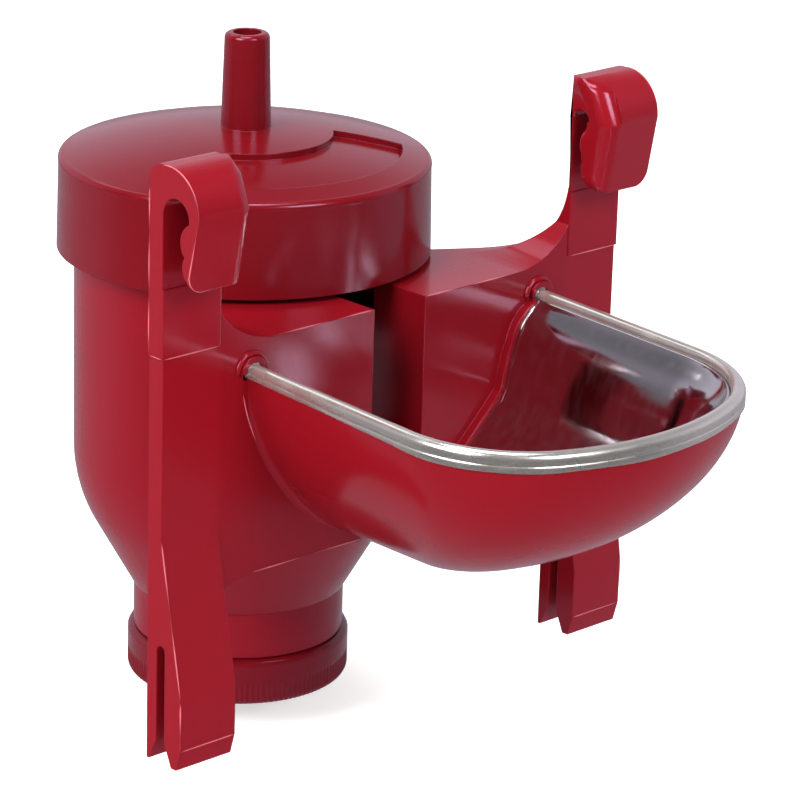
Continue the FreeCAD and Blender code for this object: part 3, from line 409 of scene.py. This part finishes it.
def weldedSkin(node, body, material):
    name = node + "Skin"
    mesh = nodes[node].data.copy()
    mesh.name = name
    grid = bmesh.new()
    grid.from_mesh(mesh)
    bmesh.ops.remove_doubles(grid, verts=grid.verts, dist=skins["weld"])
    bmesh.ops.recalc_face_normals(grid, faces=grid.faces)
    for edge in grid.edges:
        edge.smooth = edge.calc_face_angle(math.pi) < math.radians(skins["smooth"][node])
    if node == "housing":
        roundHooks(grid)
    grid.to_mesh(mesh)
    grid.free()
    if "custom_normal" in mesh.attributes:
        mesh.attributes.remove(mesh.attributes["custom_normal"])
    mesh.polygons.foreach_set("use_smooth", np.ones(len(mesh.polygons), dtype=bool))
    mesh.materials.clear()
    mesh.materials.append(material)
    piece = bpy.data.objects.new(name, mesh)
    bpy.context.scene.collection.objects.link(piece)
    flats = piece.modifiers.new("flats", "WEIGHTED_NORMAL")
    flats.keep_sharp = True
    flats.weight = 100
    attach(piece, body)
    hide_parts(node)


def meshPiece(name, points, faces, material):
    mesh = bpy.data.meshes.new(name)
    mesh.from_pydata(points.reshape(-1, 3).tolist(), [], faces.tolist())
    mesh.polygons.foreach_set("use_smooth", np.ones(len(mesh.polygons), dtype=bool))
    mesh.materials.append(material)
    mesh.update()
    piece = bpy.data.objects.new(name, mesh)
    bpy.context.scene.collection.objects.link(piece)
    return piece


# Quads between neighbours in a grid of points, closed round its second direction where asked
def gridFaces(rows, columns, closed=False):
    steps = np.arange(columns if closed else columns - 1)
    row, column = np.meshgrid(np.arange(rows - 1), steps, indexing="ij")
    after = (column + 1) % columns
    here, below = row * columns, (row + 1) * columns
    return np.stack((here + column, here + after, below + after, below + column), axis=-1).reshape(-1, 4)


# Quads across the last row of such a grid, from each point to its mirror image
def bottomFaces(rows, columns):
    near = np.arange((columns - 1) // 2)
    far = columns - 1 - near
    return np.stack((near, near + 1, far - 1, far), axis=-1)[:-1] + (rows - 1) * columns


# Rises from 0 to 1 as 3 s^2 - 2 s^3, s the share of the way from start to end
def smoothStep(value, start, end):
    share = np.clip((value - start) / (end - start), 0, 1)
    return share * share * (3 - 2 * share)


# Length along a line of points, from its start to each point
def runAlong(line):
    return np.concatenate(((0,), np.cumsum(np.linalg.norm(np.diff(line, axis=0), axis=1))))


# Bowl
bowl = {
    "face": 1.95 * mm,         # front of the panel, where the bowl starts
    "half": 39.8 * mm,
    "reach": 72.9 * mm,
    "depth": 42.6 * mm,
    "rimDrop": 35.75 * mm,
    "rimSlope": math.radians(2.0),
    "crossPower": 1.7,
    "keelPower": 2.1,
    "cornerShare": 0.665,
    "frontShare": 1.527,
    "sideSteps": 30,
    "sideBunch": 1.7,          # draws the steps of the straight sides together at the panel
    "cornerSteps": 26,
    "frontSteps": 22,
    "levels": 56,
    "deepest": 0.985,          # share of the depth where the round side ends in the flat underside
    "skin": 0.28 * mm,
    "hollow": 1.4 * mm,        # radius of the hollow between the bowl and the panel
    "hollowStart": (0.08, 0.3),
    "hollowEnd": (0.75, 0.93),
}


# Plan of the bowl, one row per level: straight sides from the back, corner arcs of cornerShare x half and a
# front arc of frontShare x half, tangent where the corner has turned by
# acos((1 - cornerShare) / (frontShare - cornerShare)). out moves the curve along its normal.
def planCurve(half, reach, back, out):
    half, reach, back, out = (np.asarray(v, dtype=float).reshape(-1, 1) for v in (half, reach, back, out))
    corner = bowl["cornerShare"] * half
    front = bowl["frontShare"] * half
    meet = math.acos((1 - bowl["cornerShare"]) / (bowl["frontShare"] - bowl["cornerShare"]))
    ahead = (front - corner) * math.sin(meet)
    turnY = bowl["face"] - reach + front - ahead
    side = np.linspace(0, 1, bowl["sideSteps"])[None, :-1] ** bowl["sideBunch"]
    bend = np.linspace(0, meet, bowl["cornerSteps"])[None, :-1]
    nose = np.linspace(meet, math.pi / 2, bowl["frontSteps"])[None, :]
    x = np.concatenate((
        half + out + 0 * side,
        half - corner + (corner + out) * np.cos(bend),
        (front + out) * np.cos(nose),
    ), axis=1)
    y = np.concatenate((
        back + (turnY - back) * side,
        turnY - (corner + out) * np.sin(bend),
        turnY + ahead - (front + out) * np.sin(nose),
    ), axis=1)
    return np.concatenate((x, -x[:, -2::-1]), axis=1), np.concatenate((y, y[:, -2::-1]), axis=1)


# Half width at a share s of the depth: half (1 - s^crossPower)^(1 / crossPower)
def bowlHalf(share):
    return bowl["half"] * (1 - share ** bowl["crossPower"]) ** (1 / bowl["crossPower"])


# Outside of the bowl: bowlHalf wide, and its reach falls in the same way with keelPower. It runs into the panel
# in a hollow of radius r, wider by r - sqrt(r^2 - (r - t)^2) at t from the panel.
def bowlSkin(material):
    share = np.sin(np.linspace(0, math.asin(bowl["deepest"]), bowl["levels"]))
    half = bowlHalf(share)
    reach = bowl["reach"] * (1 - share ** bowl["keelPower"]) ** (1 / bowl["keelPower"])
    x, y = planCurve(half, reach, bowl["face"], 0)
    share = share[:, None]
    fall = y * math.tan(bowl["rimSlope"]) * (1 - share) ** 5
    z = fall - bowl["rimDrop"] - bowl["depth"] * share
    points = np.stack((x, y, z), axis=-1)
    normal = np.cross(np.gradient(points, axis=0), np.gradient(points, axis=1))
    normal /= np.linalg.norm(normal, axis=-1, keepdims=True)
    outward = points - np.array((0, bowl["face"] - bowl["reach"] / 2, -bowl["rimDrop"]))
    normal *= np.sign(np.sum(normal * outward, axis=-1, keepdims=True))
    steep = np.gradient(half, share[:, 0])[:, None]
    lean = np.hypot(bowl["depth"], steep)
    near = np.clip(bowl["face"] - y, 0, bowl["hollow"])
    flare = bowl["hollow"] - np.sqrt(bowl["hollow"] ** 2 - (bowl["hollow"] - near) ** 2)
    flare = flare * smoothStep(share, *bowl["hollowStart"]) * (1 - smoothStep(share, *bowl["hollowEnd"]))
    points = points + normal * bowl["skin"]
    points[..., 1] = np.minimum(points[..., 1], bowl["face"] - 0.02 * mm)
    points[..., 0] += np.sign(x) * flare * bowl["depth"] / lean
    points[..., 2] += flare * steep / lean
    faces = np.concatenate((gridFaces(*x.shape), bottomFaces(*x.shape)))
    piece = meshPiece("bowlSkin", points, faces, material)
    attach(piece, "housing")


# Steel guard
guard = {
    "levels": (                # depth below the rim, half width, reach ahead of the cage face, all in mm
        (0.0, 38.2, 71.3), (0.7, 38.2, 71.3), (2.0, 35.6, 69.7), (4.9, 33.1, 68.4), (11.2, 30.7, 66.6),
        (18.7, 28.9, 62.4), (21.4, 26.5, 60.0), (27.7, 20.3, 52.5), (34.0, 14.0, 41.0), (38.8, 9.2, 26.0),
    ),
    "samples": 130,
    "soften": 3.2 * mm,        # depth over which the levels run into each other
    "play": 0.15 * mm,
    "sheet": 0.7 * mm,
    "foldSheet": 0.35 * mm,
    "backEdge": -0.05 * mm,
    "cutEdge": 0.34 * mm,      # radius of the bright line on the cut edge, and where it starts and ends
    "cutSpan": (0.8 * mm, 33 * mm),
    "cutPace": 2.7 * mm,
    "curveHalf": 38.85 * mm,   # middle of the fold's arch
    "curveReach": 72.1 * mm,
    "arch": 1.48 * mm,
    "lap": 0.6 * mm,
    "tail": 1.6 * mm,
    "backDrop": 1.3 * mm,      # outer leg below the rim plane, at the panel and at the front
    "frontDrop": 2.5 * mm,
    "wander": ((0.10 * mm, 7.1 * mm, 0.0), (0.07 * mm, 3.3 * mm, 1.0)),  # height, pace and start of each wave
    "seam": 0.9 * mm,          # groove below the rim plane
    "seamDepth": 0.22 * mm,
}


# Levels tilt about the cage wire by the rim's slope and hang at the rim's drop
def tiltWithRim(x, y, z):
    level = math.cos(bowl["rimSlope"])
    slant = math.sin(bowl["rimSlope"])
    return np.stack((x, y * level - z * slant, y * slant + z * level - bowl["rimDrop"]), axis=-1)


def guardLevels():
    return (np.array(column) * mm for column in zip(*guard["levels"]))


# Steel liner: the levels' half width and reach against depth, averaged over a short depth so that they run
# smoothly into each other, and a flat bottom
def guardLiner(material):
    depths, halves, reaches = guardLevels()
    depth = np.linspace(0, depths[-1], guard["samples"])
    spread = max(int(guard["soften"] / (depth[1] - depth[0])), 1)
    window = np.hanning(2 * spread + 3)[1:-1]
    window /= window.sum()
    half, reach = (
        np.convolve(np.pad(np.interp(depth, depths, v), spread, mode="edge"), window, mode="valid")
        for v in (halves, reaches)
    )
    inset = guard["play"] + guard["sheet"]
    depth = depth * (1 - inset / depths[-1])
    back = (guard["backEdge"] - depth * math.sin(bowl["rimSlope"])) / math.cos(bowl["rimSlope"])
    x, y = planCurve(half - inset, reach - inset, back, 0)
    points = tiltWithRim(x, y, -depth[:, None] + 0 * x)
    faces = np.concatenate((gridFaces(*x.shape), bottomFaces(*x.shape)))
    piece = meshPiece("guardLiner", points, faces, material)
    thick = piece.modifiers.new("sheet", "SOLIDIFY")
    thick.thickness = guard["sheet"]
    thick.offset = 1.0
    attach(piece, "housing")
    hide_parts("steel_guard")


# Folded edge: an arch over the bowl's rim with a short inner leg and an outer leg, which gets longer to the
# front. A seam runs along the outer leg and its lower edge wanders by sums of sines.
def guardFold(material):
    arch = guard["arch"]
    inner = arch - guard["foldSheet"]
    back = bowl["face"] + guard["tail"]
    x, y = planCurve(guard["curveHalf"], guard["curveReach"], back, 0)
    run = runAlong(np.stack((x[0], y[0]), axis=1))
    ahead = smoothStep(back - y[0], 0, guard["curveReach"] * 0.9)
    drop = guard["backDrop"] + (guard["frontDrop"] - guard["backDrop"]) * ahead
    drop = drop + ahead * sum(size * np.sin(run / pace + start) for size, pace, start in guard["wander"])
    seam = guard["seam"] * smoothStep(drop, guard["backDrop"], guard["frontDrop"] * 0.7)
    groove = guard["seamDepth"]
    turn = np.linspace(math.pi, 0, 25)
    section = [(-arch, -guard["lap"] + 0 * drop)]
    section += [(arch * math.cos(a), arch * math.sin(a) + 0 * drop) for a in turn]
    section += [               # outer leg, down over the groove and back up inside
        (arch, -seam * 0.55),
        (arch - groove * 0.3, -seam * 0.85),
        (arch - groove, -seam),
        (arch - groove * 0.3, -seam * 1.15 - 0.05 * mm),
        (arch + 0.05 * mm, -seam * 1.3 - 0.12 * mm),
        (arch + 0.05 * mm, -drop + 0.3 * mm),
        (arch - 0.12 * mm, -drop + 0.05 * mm),
        (arch - 0.35 * mm, -drop),
        (inner, -drop + 0.2 * mm),
        (inner, 0 * drop),
    ]
    section += [(inner * math.cos(a), inner * math.sin(a) + 0 * drop) for a in turn[::-1]]
    section += [(-inner, -guard["lap"] + 0 * drop)]
    rings = []
    for out, height in section:
        x, y = planCurve(guard["curveHalf"], guard["curveReach"], back, out)
        rings.append(tiltWithRim(x[0], y[0], height))
    points = np.stack(rings, axis=1)
    piece = meshPiece("guardFold", points, gridFaces(*points.shape[:2], closed=True), material)
    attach(piece, "housing")
    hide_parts("steel_guard")


# A thin round ridge along a line of points; its radius swells and fades as 0.55 + 0.45 sin(run / pace)
def ridgeAlong(line, radius, pace, sides=6):
    tangent = np.gradient(line, axis=0)
    tangent /= np.linalg.norm(tangent, axis=1, keepdims=True)
    helper = np.where(np.abs(tangent[:, :1]) > 0.9, np.array(((0, 0, 1.0),)), np.array(((1.0, 0, 0),)))
    first = np.cross(tangent, helper)
    first /= np.linalg.norm(first, axis=1, keepdims=True)
    second = np.cross(tangent, first)
    run = runAlong(line)
    size = radius * (0.55 + 0.45 * np.sin(run / pace))
    size *= smoothStep(run, 0, 1.5 * mm) * (1 - smoothStep(run, run[-1] - 1.5 * mm, run[-1])) + 0.02
    turn = np.linspace(0, 2 * math.pi, sides, endpoint=False)
    ring = first[:, None] * np.cos(turn)[None, :, None] + second[:, None] * np.sin(turn)[None, :, None]
    return line[:, None] + ring * size[:, None, None]


# One piece of several grids of points, each closed round its second direction
def tubesPiece(name, tubes, material):
    faces = []
    first = 0
    for tube in tubes:
        faces.append(gridFaces(*tube.shape[:2], closed=True) + first)
        first += tube.shape[0] * tube.shape[1]
    points = np.concatenate([tube.reshape(-1, 3) for tube in tubes])
    piece = meshPiece(name, points, np.concatenate(faces), material)
    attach(piece, "housing")


# The liner's cut edge: a bright line down its back, from the rim to the bottom
def cutEdge(material):
    depths, halves, reaches = guardLevels()
    depth = np.linspace(*guard["cutSpan"], 60)
    half = np.interp(depth, depths, halves) - guard["play"] - guard["sheet"] * 0.6
    back = guard["backEdge"] - depth * math.sin(bowl["rimSlope"]) - 0.1 * mm
    tubesPiece("cutEdge", [
        ridgeAlong(tiltWithRim(side * half, back, -depth), guard["cutEdge"], guard["cutPace"])
        for side in (-1, 1)
    ], material)


# Screw cap
cap = {
    "axis": 48.75 * mm,
    "radius": 23.3 * mm,
    "end": -121.9 * mm,
    "edge": 1.6 * mm,
    "top": -111.9 * mm,
    "shoulder": 1.0 * mm,
    "inner": 21.1 * mm,
    "floor": -119.9 * mm,
    "middle": 0.01 * mm,       # the outline stops this far from the axis
    "ribs": 128,
    "ribDepth": 0.26 * mm,
    "ribTop": (-117.6 * mm, -116.4 * mm),   # height over which the ribs fade
    "around": 768,
    "smooth": 38,
}


# A turned outline whose outside is ribbed below: the radius is less by ribDepth (1 - cos(ribs x turn)) / 2
def capSkin(material):
    low = cap["radius"] - cap["edge"]
    bend = np.radians(np.linspace(-90, 0, 9))
    heights = np.linspace(cap["end"] + cap["edge"], cap["top"] - cap["shoulder"], 16)
    outline = [(cap["middle"], cap["end"]), (low * 0.5, cap["end"])]
    outline += [
        (low + cap["edge"] * math.cos(a), cap["end"] + cap["edge"] * (1 + math.sin(a))) for a in bend]
    outline += [(cap["radius"], z) for z in heights[1:]]
    outline += [
        (cap["radius"] - cap["shoulder"] * 0.35, cap["top"] - cap["shoulder"] * 0.3),
        (cap["radius"] - cap["shoulder"], cap["top"]),
        (cap["inner"], cap["top"]), (cap["inner"], cap["floor"]), (cap["middle"], cap["floor"]),
    ]
    radius, height = (np.array(column)[:, None] for column in zip(*outline))
    turn = np.linspace(0, 2 * math.pi, cap["around"], endpoint=False)[None, :]
    ribbed = (radius > low + 0.4 * mm) * (1 - smoothStep(height, *cap["ribTop"]))
    radius = radius - ribbed * cap["ribDepth"] * (1 - np.cos(cap["ribs"] * turn)) / 2
    x, y = radius * np.sin(turn), cap["axis"] - radius * np.cos(turn)
    points = np.stack((x, y, height + 0 * turn), axis=-1)
    piece = meshPiece("capSkin", points, gridFaces(*points.shape[:2], closed=True), material)
    piece.data.set_sharp_from_angle(angle=math.radians(cap["smooth"]))
    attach(piece, "cap")
    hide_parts("bottom_cap")


# Sockets of the guard
socket = {
    "steps": (60, 12),
    "collar": {
        "radius": 3.5 * mm, "thick": 0.62 * mm, "from": -8, "to": 188, "crumple": 0.01, "proud": 0.1 * mm},
    "end": {
        "radius": 1.72 * mm, "thick": 0.42 * mm, "from": -30, "to": 210, "crumple": 0.06, "proud": 0.5 * mm},
}


# Raised half rings over the two sockets, and the steel's crumpled ends inside them: rings whose radius and
# thickness wander by sines of the turn, and which thin out at both ends
def socketRings(material, steelMaterial):
    steps, sides = socket["steps"]
    for name, key, finish in (("socketCollars", "collar", material), ("guardEnds", "end", steelMaterial)):
        ring = socket[key]
        turn = np.radians(np.linspace(ring["from"], ring["to"], steps))[:, None]
        swing = np.linspace(0, 2 * math.pi, sides, endpoint=False)[None, :]
        wander = 1 + ring["crumple"] * (np.sin(7 * turn) + 0.6 * np.sin(13 * turn + swing))
        fade = smoothStep(turn, turn[0], turn[0] + 0.3) * (1 - smoothStep(turn, turn[-1] - 0.3, turn[-1]))
        thick = ring["thick"] * (0.25 + 0.75 * fade) * wander
        reach = ring["radius"] * wander + thick * np.cos(swing)
        tubesPiece(name, [
            np.stack((
                side * (guard["curveHalf"] + 0 * reach) + reach * np.cos(turn),
                bowl["face"] - ring["proud"] - thick * np.sin(swing),
                reach * np.sin(turn) - bowl["rimDrop"],
            ), axis=-1)
            for side in (-1, 1)
        ], finish)


# Hollow corners below the panel
fillet = {
    "start": 38 * mm,
    "run": 8.95 * mm,
    "fall": 6.6 * mm,
    "depth": (1.97 * mm, 3.9 * mm),
    "overlap": 0.5 * mm,
    "steps": 16,
}


# A quarter oval, x = start + run sin(turn) and z = panelEnd - fall (1 - cos(turn)), where the panel's lower
# edge runs down into each bar
def panelCorners(material):
    turn = np.radians(np.linspace(0, 90, fillet["steps"]))
    x = fillet["start"] + fillet["run"] * np.sin(turn)
    z = bars["panelEnd"] - fillet["fall"] * (1 - np.cos(turn))
    lower = np.stack((x, z), axis=1)
    upper = np.stack((x, np.full(x.shape, bars["panelEnd"] + fillet["overlap"])), axis=1)
    ring = np.concatenate((lower, upper[::-1]))
    count = len(ring)
    layers = [
        np.stack((side * ring[:, 0], np.full(count, y), ring[:, 1]), axis=1)
        for side in (-1, 1) for y in fillet["depth"]
    ]
    near = np.arange(fillet["steps"] - 1)
    front = np.stack((near, near + 1, count - 2 - near, count - 1 - near), axis=1)
    faces = np.concatenate((front, front + count, gridFaces(2, count, closed=True)))
    faces = np.concatenate((faces, faces + 2 * count))
    piece = meshPiece("panelCorners", np.concatenate(layers), faces, material)
    piece.data.polygons.foreach_set("use_smooth", np.zeros(len(piece.data.polygons), dtype=bool))
    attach(piece, "housing")


# Flash on the bars, wings and panel: thin ridges whose pale pink colour is a painted highlight
bars = {
    "inner": 46.95 * mm,
    "outer": 61.15 * mm,
    "lowerOuter": 60.85 * mm,
    "front": 1.65 * mm,
    "back": 5.85 * mm,
    "backTop": 4 * mm,
    "step": -29.0 * mm,
    "wingTop": -29.85 * mm,
    "wingEnd": 33 * mm,
    "channel": 6.9 * mm,
    "panelStart": 9 * mm,
    "panelEnd": -77.4 * mm,
    "crownY": 0.35 * mm,
    "crownRadius": 8.5 * mm,
    "crownTurn": (75, 180),
    "lipEnd": (-5.6 * mm, -14.4 * mm),
    "lipCorner": 3.2 * mm,
    "foot": ((1.95 * mm, -65.5 * mm), (-4.15 * mm, -96.5 * mm), (-4.15 * mm, -106.95 * mm)),
    "seamOut": 1.5 * mm,       # where the hollow between bowl and panel ends
    "seamSpan": (0.1, 0.62),
    "flashHighlight": 0.13 * mm,
    "pace": {                  # mm along which the flash swells and fades
        "hook": 3.4, "barBack": 1.9, "step": 4.1, "stepSide": 5, "wingTop": 2.3,
        "panelEnd": 2.9, "shin": 3.1, "heel": 1.7, "toe": 6, "seam": 3.7,
    },
}


def straight(start, stop, steps=40):
    share = np.linspace(0, 1, steps)[:, None]
    return np.array(start) * (1 - share) + np.array(stop) * share


# Outline of a hook's outer side: an arc over the crown, down the lip, round its lower corner and under it
def hookLine(side):
    outer = side * bars["outer"]
    lipY, lipZ = bars["lipEnd"]
    radius = bars["lipCorner"]
    turn = np.radians(np.linspace(*bars["crownTurn"], 40))
    bend = np.radians(np.linspace(0, 90, 16))[:, None]
    crown = np.stack((
        np.full(turn.shape, outer),
        bars["crownY"] + bars["crownRadius"] * np.cos(turn),
        bars["crownY"] + bars["crownRadius"] * np.sin(turn),
    ), axis=1)
    lip = straight(crown[-1], (outer, lipY, lipZ + radius), 30)
    corner = np.concatenate((
        outer - side * radius * (1 - np.cos(bend)), lipY + 0 * bend, lipZ + radius * (1 - np.sin(bend)),
    ), axis=1)
    under = straight(corner[-1], (side * (bars["inner"] + radius), lipY, lipZ), 24)
    return np.concatenate((crown, lip[1:], corner[1:], under[1:]))


# Where the bowl's side meets the panel, beside the hollow: x = bowlHalf(share) + seamOut
def seamLine(side):
    share = np.linspace(*bars["seamSpan"], 60)
    return np.stack((
        side * (bowlHalf(share) + bars["seamOut"]),
        bowl["face"] + 0 * share,
        -bowl["rimDrop"] - bowl["depth"] * share,
    ), axis=1)


# Flash where the mould's halves met: round the hooks, up the bars' backs, at their steps, along the wings and
# the panel, down the feet, and between bowl and panel. The ridges are real; their pale pink colour is a painted
# highlight
def flashLines(material):
    face = bowl["face"]
    shin, heel, toe = bars["foot"]
    tubes = []
    for side in (-1, 1):
        outer, inner, lower = (side * bars[key] for key in ("outer", "inner", "lowerOuter"))
        stepFront = (outer, bars["front"], bars["step"])
        stepBack = (outer, bars["back"], bars["step"])
        lines = {
            "hook": hookLine(side),
            "barBack": straight((outer, bars["back"], bars["backTop"]), stepBack, 90),
            "step": straight(stepFront, (inner, bars["front"], bars["step"])),
            "stepSide": straight(stepFront, stepBack),
            "wingTop": straight(
                (side * bars["channel"], face, bars["wingTop"]),
                (side * bars["wingEnd"], face, bars["wingTop"]), 70),
            "panelEnd": straight(
                (side * bars["panelStart"], face, bars["panelEnd"]),
                (side * fillet["start"], face, bars["panelEnd"]), 90),
            "shin": straight((lower, *shin), (lower, *heel), 60),
            "heel": straight((lower, *heel), (lower, *toe), 60),
            "toe": straight((lower, *toe), (inner, *toe)),
            "seam": seamLine(side),
        }
        tubes += [ridgeAlong(line, bars["flashHighlight"], bars["pace"][key] * mm) for key, line in lines.items()]
    tubesPiece("flashLines", tubes, material)


bpy.context.scene.view_settings.view_transform = "Standard"
setCamera()
setLamps()
setRoom()
setFloor()
print("stage set")

cherry = mouldedPlastic("cherryPolypropylene", finishes["cherry"])
# painted shade: a darker copy of the cherry plastic for the lid and cap
shadedLidCherry = mouldedPlastic("shadedLidPolypropylene", finishes["shadedLidCherry"])
# painted highlight: pale pink for the bright edges of the flash ridges
flashHighlight = mouldedPlastic("paleHighlightFlash", finishes["flashHighlight"])
white = mouldedPlastic("naturalPolypropylene", finishes["white"])
steel = drawnSteel("drawnStainless", finishes["steel"])
rimSteel = drawnSteel("rolledStainless", finishes["rim"])
brass = turnedBrass("turnedBrass", finishes["brass"])
rubber = mouldedRubber("nitrileRubber", finishes["rubber"])
nodeFinish = {
    "housing": cherry, "lid": shadedLidCherry, "bottom_cap": shadedLidCherry, "steel_guard": steel, "valve_jet": brass,
    "valve_guide": white, "pad_holder": white, "float_stem": white, "float_cover": white,
    "float_shell": white, "valve_pad": rubber, "cap_gasket": rubber,
}
for name, material in nodeFinish.items():
    nodes[name].data.materials.clear()
    nodes[name].data.materials.append(material)
print("materials set")

weldedSkin("housing", "housing", cherry)
weldedSkin("lid", "lid", shadedLidCherry)
bowlSkin(cherry)
capSkin(shadedLidCherry)
print("mouldings made")
flashLines(flashHighlight)
socketRings(cherry, rimSteel)
panelCorners(cherry)
print("moulded details made")
cutEdge(rimSteel)
guardLiner(steel)
guardFold(rimSteel)
print("steel guard made")
